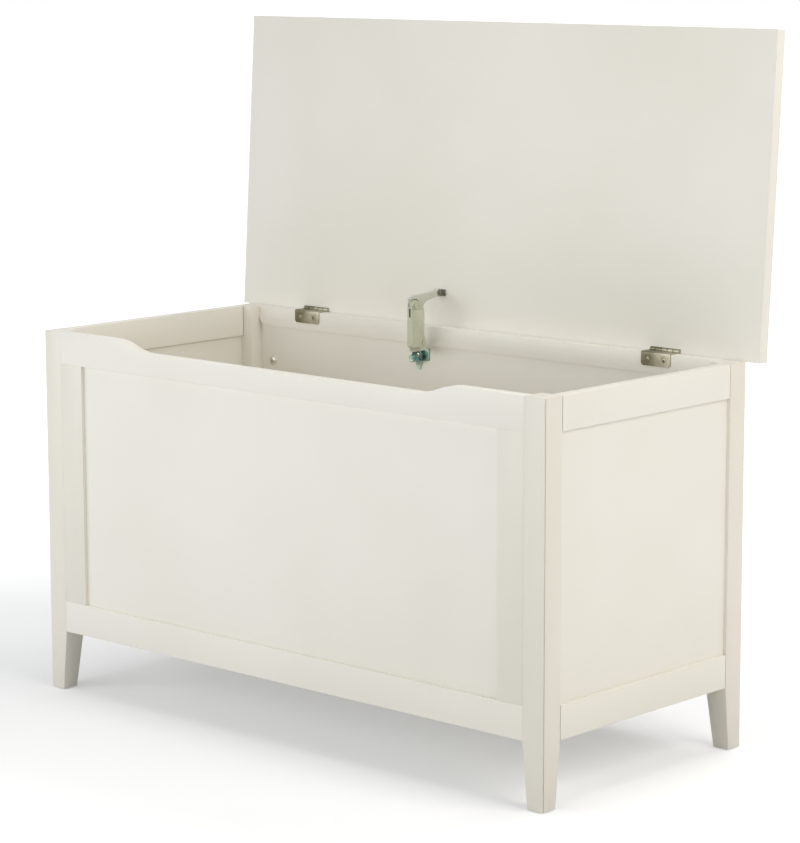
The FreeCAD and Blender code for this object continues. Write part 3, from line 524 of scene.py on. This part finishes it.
for side in (-1, 1):
    centreX = side * lidLook["hingePlace"]
    cutBlock(slab, "pocketTool",
             (centreX - lidLook["leafHalf"], hinge.y + lidLook["leafSink"], hinge.z - mm),
             (centreX + lidLook["leafHalf"], hinge.y + lidLook["leafPast"], hinge.z + lidLook["leafHigh"]))
    cutBlock(slab, "notchTool",
             (centreX - lidLook["notchHalf"], hinge.y - lidLook["notchDeep"], hinge.z - lidLook["notchPast"]),
             (centreX + lidLook["notchHalf"], hinge.y + lidLook["notchPast"], hinge.z + lidLook["notchDeep"]))
openLid(slab)
finishPiece(slab, paintAlongX, "lid", "white_paint", "lid_panel")
print("lid made")


# Screws, modelled once with the head flush with the origin and the shank along -Z

def cutCross(piece, top, look):
    # The cross recess narrows towards its bottom
    reach, width, deep = look["cross"]
    for turn in (0, 90):
        bar = addBlock("crossTool", (-reach, -width, top - deep), (reach, width, top + deep))
        edit(bar)
        pick(bar, "FACE", lambda face: face.normal.z < -0.9)
        bpy.ops.transform.resize(value=(0.45, 0.6, 1), center_override=(0, 0, top - deep))
        leave()
        bar.data.transform(Matrix.Rotation(math.radians(turn), 4, "Z"))
        cutWith(piece, bar)


def driveScrews(name, model, places, way, firstTurn=25, nextTurn=38):
    # Copies of one screw, each turned some degrees further, as a fitter leaves them
    facing = Vector(way).normalized().to_track_quat("Z", "Y").to_matrix().to_4x4()
    driven = []
    for index, place in enumerate(places):
        spin = Matrix.Rotation(math.radians(firstTurn + nextTurn * index), 4, "Z")
        driven.append(copied(model, "%s%d" % (name, index), Matrix.Translation(place) @ facing @ spin))
    return driven


def finishScrews(screws, material, body, *nodes):
    # The first of them takes the place of the frame's whole group
    for index, screw in enumerate(screws):
        finishPiece(screw, material, body, "hinge_steel", *(nodes if index == 0 else ()))


screwLook = {
    "length": 11.8 * mm,
    "head": 2.9 * mm,          # radius
    "shank": 1.25 * mm,        # radius
    "crown": 0.18 * mm,        # rise of the head's middle
    "crownTurn": (0.7, 0.55),  # a point further out: shares of that rise and of the radius
    "crownEnd": 0.94,          # share of the radius
    "rim": 0.12 * mm,
    "sink": 1.45 * mm,         # depth of the cone under the head
    "tip": 2 * mm,
    "cross": (1.7 * mm, 0.55 * mm, 0.9 * mm),      # reach, half width and depth
}
look = screwLook
riseShare, radiusShare = look["crownTurn"]
woodScrew = turned("countersunkScrew", [
    (-look["crown"], 0), (-look["crown"] * riseShare, look["head"] * radiusShare),
    (0, look["head"] * look["crownEnd"]), (look["rim"], look["head"]), (look["sink"], look["shank"]),
    (look["length"] - look["tip"], look["shank"]), (look["length"], 0)], (0, 0, 0), (0, 0, -1), 24)
cutCross(woodScrew, look["crown"], look)

# Hinges: bent and rolled from steel strip

hingeLook = {
    "width": 47 * mm,
    "sheet": 1.5 * mm,
    "barrel": 3.0 * mm,        # outer radius of the knuckles
    "gap": 0.9 * mm,           # between one knuckle and the next
    "clear": 0.3 * mm,         # between the barrel and the flat part of a leaf
    "chestRoll": 296,          # degrees that the knuckles are rolled through
    "lidRoll": 290,
    "axisRise": 2 * mm,        # the axis above the rail's top
    "axisBack": 19.2 * mm,     # the axis behind the rail's inner face
    "legFrame": 18.3 * mm,
    "legLid": 14 * mm,
    "corner": 4 * mm,
    "bend": 1.1 * mm,
    "edgeEase": 0.18 * mm,
    "screwSpread": 13 * mm,
    "screwDrop": 8 * mm,       # below the rail's top
    "lidScrewRise": 8.5 * mm,
    "flangeScrew": 18.5 * mm,
    "flangeScrewSet": 7.5 * mm,
    # outlines in mm, each point (distance along the axis, radius)
    "hole": ((-1, 0), (-1, 3.6), (0, 3.15), (1.5, 1.65), (6, 1.65), (6, 0)),
    "pinHead": ((-0.8, 0), (-0.75, 1.2), (-0.4, 2.0), (0, 2.15), (0, 1.2)),
}
chestTop = hinge.z - hingeLook["axisRise"]
railInner = hinge.y - hingeLook["axisBack"]
half = hingeLook["sheet"] / 2
rollRadius = hingeLook["barrel"] - half


def knuckleEdges(centreX, places):
    step = hingeLook["width"] / 5
    return [(centreX + (place - 0.5) * step + hingeLook["gap"] / 2,
             centreX + (place + 0.5) * step - hingeLook["gap"] / 2) for place in places]


def inSpans(x, knuckles):
    return any(first < x < last for first, last in knuckles)


def startLeaf(name, centreX, y, low, high, knuckles):
    # The leg as a sheet through the middle of its thickness, divided where the knuckles begin and end
    bpy.ops.object.select_all(action="DESELECT")
    bpy.ops.mesh.primitive_plane_add(size=1, location=(centreX, y, (low + high) / 2),
                                     rotation=(math.pi / 2, 0, 0))
    leaf = bpy.context.object
    leaf.name = name
    leaf.scale = (hingeLook["width"], high - low, 1)
    bpy.ops.object.transform_apply(location=True, rotation=True, scale=True)
    edit(leaf)
    for pair in knuckles:
        for x in pair:
            if abs(x - centreX) < hingeLook["width"] / 2 - 3 * hair:
                halve((x, 0, 0), (1, 0, 0))
    return leaf


def rollKnuckles(leaf, isEdge, knuckles, turn):
    # The strip's free edges are rolled round the pin
    pick(leaf, "EDGE", lambda edge: runs(edge, 0) and isEdge(middle(edge))
         and inSpans(middle(edge).x, knuckles))
    bpy.ops.mesh.spin(steps=18, angle=math.radians(turn), center=(0, hinge.y, hinge.z), axis=(1, 0, 0))


def roundCorners(leaf, centreX, isEnd):
    # The two free corners of the leg
    pick(leaf, "VERT", lambda corner: isEnd(corner.co)
         and abs(abs(corner.co.x - centreX) - hingeLook["width"] / 2) < hair)
    bpy.ops.mesh.bevel(offset=hingeLook["corner"], segments=6, affect="VERTICES")


def finishLeaf(leaf, holes, body, node):
    # From a flat sheet to steel: its thickness, countersunk holes and eased edges
    merge(0.005 * mm)
    bpy.ops.mesh.normals_make_consistent(inside=False)
    leave()
    useModifier(leaf, "SOLIDIFY", thickness=hingeLook["sheet"], offset=0.0, use_even_offset=True)
    for place, way in holes:
        cutWith(leaf, turned("holeTool", inMm(hingeLook["hole"]), place, way, 28))
    ease(leaf, hingeLook["edgeEase"], 2, 50)
    if body == "lid":
        openLid(leaf)
    finishPiece(leaf, hingeSteel, body, "hinge_steel", node)


for word, side in (("left", -1), ("right", 1)):
    centreX = side * lidLook["hingePlace"]
    spread = hingeLook["screwSpread"]

    # The chest's leaf: a leg down the rail's inner face, a flange over its top, two knuckles
    knuckles = knuckleEdges(centreX, (-1, 1))
    flangeZ = chestTop + half
    legY = railInner - half
    lowest = chestTop + hingeLook["sheet"] - hingeLook["legFrame"]
    backEdge = hinge.y - hingeLook["barrel"] - hingeLook["clear"]
    rollStart = hinge.y - math.sqrt(rollRadius ** 2 - (hinge.z - flangeZ) ** 2)
    leaf = startLeaf(word + "ChestLeaf", centreX, legY, lowest, flangeZ, knuckles)
    pick(leaf, "EDGE", lambda edge: runs(edge, 0) and middle(edge).z > flangeZ - hair)
    extrude(0, backEdge - legY, 0)
    pick(leaf, "EDGE", lambda edge: runs(edge, 0) and middle(edge).y > backEdge - hair
         and inSpans(middle(edge).x, knuckles))
    extrude(0, rollStart - backEdge, 0)
    rollKnuckles(leaf, lambda at: at.y > rollStart - hair, knuckles, hingeLook["chestRoll"])
    pick(leaf, "EDGE", lambda edge: runs(edge, 0) and abs(middle(edge).z - flangeZ) < hair
         and abs(middle(edge).y - legY) < hair)
    bpy.ops.mesh.bevel(offset=hingeLook["bend"], segments=4, affect="EDGES")
    roundCorners(leaf, centreX, lambda at: at.z < lowest + hair)
    legPlaces = [Vector((centreX + spread * way, railInner - hingeLook["sheet"],
                         chestTop - hingeLook["screwDrop"])) for way in (-1, 1)]
    flangePlace = Vector((centreX - hingeLook["flangeScrew"], railInner + hingeLook["flangeScrewSet"],
                          chestTop + hingeLook["sheet"]))
    holes = [(place, (0, 1, 0)) for place in legPlaces] + [(flangePlace, (0, 0, -1))]
    finishLeaf(leaf, holes, "carcass", word + "_hinge_frame_leaf")
    screws = driveScrews(word + "LegScrew", woodScrew, legPlaces, (0, -1, 0))
    screws += driveScrews(word + "FlangeScrew", woodScrew, [flangePlace], (0, 0, 1))
    finishScrews(screws, leafScrew, "carcass", *(["hinge_frame_screws"] if word == "left" else []))

    # The lid's leaf, drawn on the closed lid: a leg up its rear edge and three knuckles
    knuckles = knuckleEdges(centreX, (-2, 0, 2))
    legY = hinge.y + rollRadius
    legTop = hinge.z + hingeLook["legLid"]
    shoulder = hinge.z + hingeLook["barrel"] + hingeLook["clear"]
    leaf = startLeaf(word + "LidLeaf", centreX, legY, shoulder, legTop, knuckles)
    pick(leaf, "EDGE", lambda edge: runs(edge, 0) and middle(edge).z < shoulder + hair
         and inSpans(middle(edge).x, knuckles))
    extrude(0, 0, hinge.z - shoulder)
    rollKnuckles(leaf, lambda at: at.z < hinge.z + hair, knuckles, hingeLook["lidRoll"])
    roundCorners(leaf, centreX, lambda at: at.z > legTop - hair)
    lidPlaces = [Vector((centreX + spread * way, legY + half, hinge.z + hingeLook["lidScrewRise"]))
                 for way in (-1, 1)]
    finishLeaf(leaf, [(place, (0, -1, 0)) for place in lidPlaces], "lid", word + "_hinge_lid_leaf")
    screws = driveScrews(word + "LidScrew", woodScrew, lidPlaces, (0, 1, 0))
    for screw in screws:
        openLid(screw)
    finishScrews(screws, leafScrew, "lid", *(["hinge_lid_screws"] if word == "left" else []))

    # Pin with riveted ends
    long = hingeLook["width"]
    head = inMm(hingeLook["pinHead"])
    pin = turned(word + "HingePin", head + [(long - distance, radius) for distance, radius in reversed(head)],
                 (centreX - long / 2, hinge.y, hinge.z), (1, 0, 0), 20)
    finishPiece(pin, nickelScrew, "carcass", "hinge_steel", word + "_hinge_pin")
print("hinges made")

# Washer-head screws high in the corners of the back panel
washerLook = {
    "washer": 7.4 * mm,        # radius
    "washerThick": 1.0 * mm,
    "washerEase": (0.7, 0.9),  # what is left of thickness and radius where its rim is eased
    "dome": 4.9 * mm,          # radius
    "domeRise": 2.2 * mm,
    # points of the dome, as shares of its rise and its radius
    "domeOutline": ((1, 0), (0.96, 0.35), (0.78, 0.68), (0.42, 0.92), (0.1, 1), (0, 1)),
    "shank": 1.2 * mm,         # radius
    "shankLong": 4 * mm,
    "inset": 7.5 * mm,         # from the screw's middle to the outer edge of the frame's screw
    "cross": (3.6 * mm, 0.85 * mm, 2.4 * mm),
}
look = washerLook
low, high = span("back_panel_screws")
panelFace = span("back_panel")[0].y
screwX = high.x - look["inset"]
screwZ = (low.z + high.z) / 2
thickLeft, radiusLeft = look["washerEase"]
dome = [(-look["washerThick"] - look["domeRise"] * rise, look["dome"] * radius)
        for rise, radius in look["domeOutline"]]
model = turned("washerScrew", dome + [
    (-look["washerThick"], look["washer"] * radiusLeft), (-look["washerThick"] * thickLeft, look["washer"]),
    (0, look["washer"]), (0, look["shank"]), (look["shankLong"], look["shank"]), (look["shankLong"], 0)],
    (0, 0, 0), (0, 0, -1), 40)
cutCross(model, look["washerThick"] + look["domeRise"], look)
pair = driveScrews("panelScrew", model, [Vector((way * screwX, panelFace, screwZ)) for way in (-1, 1)],
                   (0, -1, 0), 45)
finishScrews(pair, palePlate, "carcass", "back_panel_screws")
bpy.data.objects.remove(model)

# Nail-on glides under the feet
glideLook = {
    "radius": 9 * mm,
    "high": 3 * mm,
    # outline in mm, from the foot down and in to the sunk head of the nail
    "outline": ((0, 0), (0, 9), (1.4, 9), (2.4, 8.5), (2.9, 7.4), (3, 6), (3, 3), (2.3, 2.4), (2.3, 0)),
}
low, high = span("foot_glides")
for index, (wayX, wayY) in enumerate([(-1, -1), (-1, 1), (1, -1), (1, 1)]):
    x = (high.x if wayX > 0 else low.x) - wayX * glideLook["radius"]
    y = (high.y if wayY > 0 else low.y) - wayY * glideLook["radius"]
    glide = turned("footGlide%d" % index, inMm(glideLook["outline"]), (x, y, glideLook["high"]),
                   (0, 0, -1), 32)
    finishPiece(glide, glideNylon, "carcass", "dark_plastic", *(["foot_glides"] if index == 0 else []))
print("screws and glides made")


# Lid stay: copies of the frame's solids, merged and softened as mouldings and pressings are

def softCopy(name, node, width):
    piece = copied(frame["nodes"][node], name, Matrix())
    edit(piece)
    merge(0.005 * mm)
    bpy.ops.mesh.dissolve_limited(angle_limit=math.radians(1))
    leave()
    ease(piece, width, 3, 45)
    return piece


stayLook = {
    "housingEase": 0.35 * mm,
    "leverEase": 0.5 * mm,
    "footEase": 0.3 * mm,
    "bracketEase": 0.25 * mm,
    "sideX": -73.0 * mm,       # the housing's right side
    "lineDeep": 0.75 * mm,     # from there to the bottom of the two lines cut in it
    "grooveZ": 525.9 * mm,     # line where the ears rise from the sleeve
    "grooveWide": 0.7 * mm,
    "rivetLine": (3.25 * mm, 4.3 * mm),        # radii of the ring round the rivet
    "rivetLineLong": 3 * mm,
    "earGap": (7.6 * mm, 9.2 * mm),            # radii of the lever's relief round the ear
    "earGapX": -78.1 * mm,     # its left side, and how far it runs out to the right
    "earGapLong": 5 * mm,
    "earGapFoot": 1.5 * mm,    # it is cut only from this height above the rivet
    "keepHalf": 20 * mm,
    "acrossX": (-100 * mm, 0), # wide enough to cut through the whole stay
    "neckLeft": -85.0 * mm,
    "neckFoot": 467 * mm,
    "plateFace": 161.8 * mm,
    "turret": (-98.5 * mm, 458.5 * mm),
    "turretRadius": 8.9 * mm,
    "turretFront": 153.6 * mm,
    "turretLip": ((0.8, 0), (0.2, 0.3), (0, 0.9), (0.3, 1.5)),     # mm behind the front, mm in from the side
    "boreRadius": 3.4 * mm,
    "boreFlare": 1.4 * mm,
    "boreDepth": 3.0 * mm,
    "noseRadius": 4.3 * mm,
    "noseThick": 1.6 * mm,
    "noseLeft": -73.9 * mm,
    "endReach": 43.1 * mm,     # the stud in front of the lid's axis
    "endDrop": 6.0 * mm,       # the stud below it, with the lid closed
    "footWide": 5.6 * mm,
    "footLong": 4.4 * mm,
}
look = stayLook

# Housing, with a line where the ears rise and a ring round the rivet
housing = softCopy("stayHousing", "stay_housing", look["housingEase"])
low, high = span("stay_housing")
lineX = look["sideX"] - look["lineDeep"]
cutBlock(housing, "grooveTool", (lineX, low.y, look["grooveZ"]),
         (look["sideX"] + mm, high.y, look["grooveZ"] + look["grooveWide"]))
cutWith(housing, ringTool("rivetTool", look["rivetLine"], look["rivetLineLong"],
                          (lineX, elbow.y, elbow.z), 40))
finishPiece(housing, stayNylon, "stay_channel", "stay_body", "stay_housing")

# Lever, relieved in a ring round the ear, so that the two don't rub
lever = softCopy("stayLever", "stay_lever", look["leverEase"])
left, right = look["acrossX"]
ring = ringTool("reliefTool", look["earGap"], look["earGapLong"], (look["earGapX"], elbow.y, elbow.z), 48)
cutBlock(ring, "keepTool", (left, elbow.y - look["keepHalf"], elbow.z - look["keepHalf"]),
         (right, elbow.y + look["keepHalf"], elbow.z + look["earGapFoot"]))
cutWith(lever, ring)
finishPiece(lever, leverNylon, "stay_arm", "stay_body", "stay_lever")

# Foot: a lobed plate on the back, a cup in a darker copy of its zinc (painted shade) that stands on it, and a
# pale neck that carries the pivot.
# Plate and neck are what is left of two copies of the same solid
low, high = span("stay_base")
low -= Vector((mm, mm, mm))
high += Vector((mm, mm, mm))
plate = softCopy("stayBase", "stay_base", look["footEase"])
cutBlock(plate, "neckTool", (look["neckLeft"], low.y, low.z), (high.x, look["plateFace"], high.z))
cutBlock(plate, "cupTool", low, (look["neckLeft"] + mm, look["plateFace"], high.z))
finishPiece(plate, zincPlate, "carcass", "zinc_plate", "stay_base")
neck = softCopy("stayNeck", "stay_base", look["footEase"])
cutBlock(neck, "plateTool", low, (look["neckLeft"], high.y, high.z))
cutBlock(neck, "footTool", (left, low.y, low.z), (right, high.y, look["neckFoot"]))
finishPiece(neck, leverNylon, "carcass", "stay_body")
cupX, cupZ = look["turret"]
cupHigh = look["plateFace"] - look["turretFront"]
lip = [(cupHigh - behind, look["turretRadius"] - inwards) for behind, inwards in inMm(look["turretLip"])]
cup = turned("stayTurret", [(0, look["turretRadius"])] + lip + [
    (cupHigh - look["boreDepth"] * 0.5, look["boreRadius"] + look["boreFlare"]),
    (cupHigh - look["boreDepth"], look["boreRadius"]), (cupHigh - look["boreDepth"], 0)],
    (cupX, look["plateFace"], cupZ), (0, -1, 0), 40)
finishPiece(cup, shadedZinc, "carcass", "zinc_plate")
cupScrew = driveScrews("turretScrew", woodScrew, [
    Vector((cupX, look["turretFront"] + look["boreDepth"], cupZ))], (0, -1, 0))[0]
finishPiece(cupScrew, nickelScrew, "carcass", "zinc_plate")

# Bracket under the lid: a small foot and a round nose for the stud, drawn on the closed lid
noseY = hinge.y - look["endReach"]
noseZ = hinge.z - look["endDrop"]
noseRight = look["noseLeft"] + look["noseThick"]
bracket = turned("stayLidBracket", [(0, 0), (0, look["noseRadius"]), (look["noseThick"], look["noseRadius"]),
                                    (look["noseThick"], 0)], (look["noseLeft"], noseY, noseZ), (1, 0, 0), 32)
web = addBlock("webTool", (look["noseLeft"], noseY - look["noseRadius"], noseZ),
               (noseRight, noseY + look["noseRadius"], hinge.z))
foot = addBlock("footTool", (look["noseLeft"], noseY - look["footLong"], hinge.z - look["noseThick"]),
                (look["noseLeft"] + look["footWide"], noseY + look["footLong"], hinge.z))
for part in (web, foot):
    useModifier(bracket, "BOOLEAN", operation="UNION", solver="EXACT", object=part)
    bpy.data.objects.remove(part)
ease(bracket, look["bracketEase"], 2, 45)
openLid(bracket)
finishPiece(bracket, darkStud, "lid", "zinc_plate", "stay_lid_bracket", "stay_bracket_screws")
bracketScrew = driveScrews("bracketScrew", woodScrew, [
    Vector((noseRight + screwLook["head"], noseY, hinge.z - look["noseThick"]))], (0, 0, -1))[0]
openLid(bracketScrew)
finishPiece(bracketScrew, darkStud, "lid", "zinc_plate")
bpy.data.objects.remove(woodScrew)
print("lid stay made")


# Floor, light and camera

stageLook = {
    "floorSize": 60.0,
    "floorColour": "e6e7e8",
    "liftNear": 0.275,         # white added for the camera alone, so the paper under the chest reads white
    "liftFar": 1.0,
    "liftMiddle": (-0.2, -0.1, 0.0),
    "nearReach": 0.5,          # metres from there
    "farReach": 1.8,
    "worldLight": 0.335,
}
white = [1.0, 1.0, 1.0, 1.0]


def raysSeen(tree, *kinds):
    # 1 for the camera's own rays and for the kinds named, 0 for light that only bounces
    rays = addNode(tree, "LightPath")
    seen = rays.outputs["Is Camera Ray"]
    for kind in kinds:
        either = addNode(tree, "Math", {"operation": "MAXIMUM"}, _0=seen,
                         _1=rays.outputs["Is %s Ray" % kind])
        seen = either.outputs[0]
    return seen


bpy.ops.object.select_all(action="DESELECT")
bpy.ops.mesh.primitive_plane_add(size=stageLook["floorSize"], location=(0, 0, 0))
floor = bpy.context.object
floor.name = "studioFloor"
paper, tree = startMaterial("studioPaper")
seen = raysSeen(tree, "Glossy")
place = addNode(tree, "TexCoord").outputs["Object"]
distance = addNode(tree, "VectorMath", {"operation": "DISTANCE"}, _0=place, _1=stageLook["liftMiddle"])
lift = addNode(tree, "MapRange", {"interpolation_type": "SMOOTHSTEP"}, Value=distance.outputs["Value"],
               From_Min=stageLook["nearReach"], From_Max=stageLook["farReach"],
               To_Min=stageLook["liftNear"], To_Max=stageLook["liftFar"])
strength = addNode(tree, "Math", {"operation": "MULTIPLY"}, _0=seen, _1=lift.outputs[0])
matt = addNode(tree, "BsdfDiffuse", None, Color=linear(stageLook["floorColour"]))
glow = addNode(tree, "Emission", None, Color=white, Strength=strength.outputs[0])
both = addNode(tree, "AddShader", None, _0=matt.outputs[0], _1=glow.outputs[0])
addNode(tree, "OutputMaterial", None, Surface=both.outputs[0])
floor.data.materials.append(paper)

world = bpy.data.worlds.new("studioAir")
bpy.context.scene.world = world
world.use_nodes = True
tree = world.node_tree
tree.nodes.clear()
seen = raysSeen(tree, "Glossy", "Transmission")
level = addNode(tree, "MapRange", None, Value=seen, To_Min=stageLook["worldLight"], To_Max=1.0)
air = addNode(tree, "Background", None, Color=white, Strength=level.outputs[0])
addNode(tree, "OutputWorld", None, Surface=air.outputs[0])

lampLook = {
    # name: (place, aim, width, height, watts, colour)
    "rightWindow": ((2.5, 0.1, 1.85), (0.35, 0.05, 0.55), 1.8, 1.6, 34.0, "fff9f2"),
    "frontFill": ((-1.1, -2.0, 1.0), (-0.2, -0.2, 0.1), 1.8, 0.8, 14.5, "fbfdff"),
    "frontMiddle": ((0.3, -2.6, 0.85), (0.0, 0.0, 0.3), 1.6, 0.8, 9.6, "ffffff"),
    "topSoft": ((0.15, -0.15, 2.9), (0.15, -0.1, 0.4), 1.6, 0.8, 10.0, "ffffff"),
    "backTop": ((0.2, 1.4, 2.4), (0.0, 0.1, 0.4), 1.8, 1.0, 17.0, "ffffff"),
}
for name, (place, aim, wide, tall, watts, colour) in lampLook.items():
    bpy.ops.object.light_add(type="AREA", location=place)
    lamp = bpy.context.object
    lamp.name = name
    lamp.data.shape = "RECTANGLE"
    lamp.data.size = wide
    lamp.data.size_y = tall
    lamp.data.energy = watts
    lamp.data.color = linear(colour)[:3]
    lamp.rotation_euler = (Vector(aim) - Vector(place)).to_track_quat("-Z", "Y").to_euler()

cameraLook = {"place": (2.58887, -2.79537, 1.03568), "turn": (80.47, 0.12, 42.65), "lens": 124.95,
              "sensor": 36.0, "farClip": 100.0}
bpy.ops.object.camera_add(location=cameraLook["place"],
                          rotation=[math.radians(angle) for angle in cameraLook["turn"]])
camera = bpy.context.object
camera.data.lens = cameraLook["lens"]
camera.data.sensor_width = cameraLook["sensor"]
camera.data.clip_end = cameraLook["farClip"]
bpy.context.scene.camera = camera
bpy.context.scene.view_settings.view_transform = "Standard"
print("stage set")
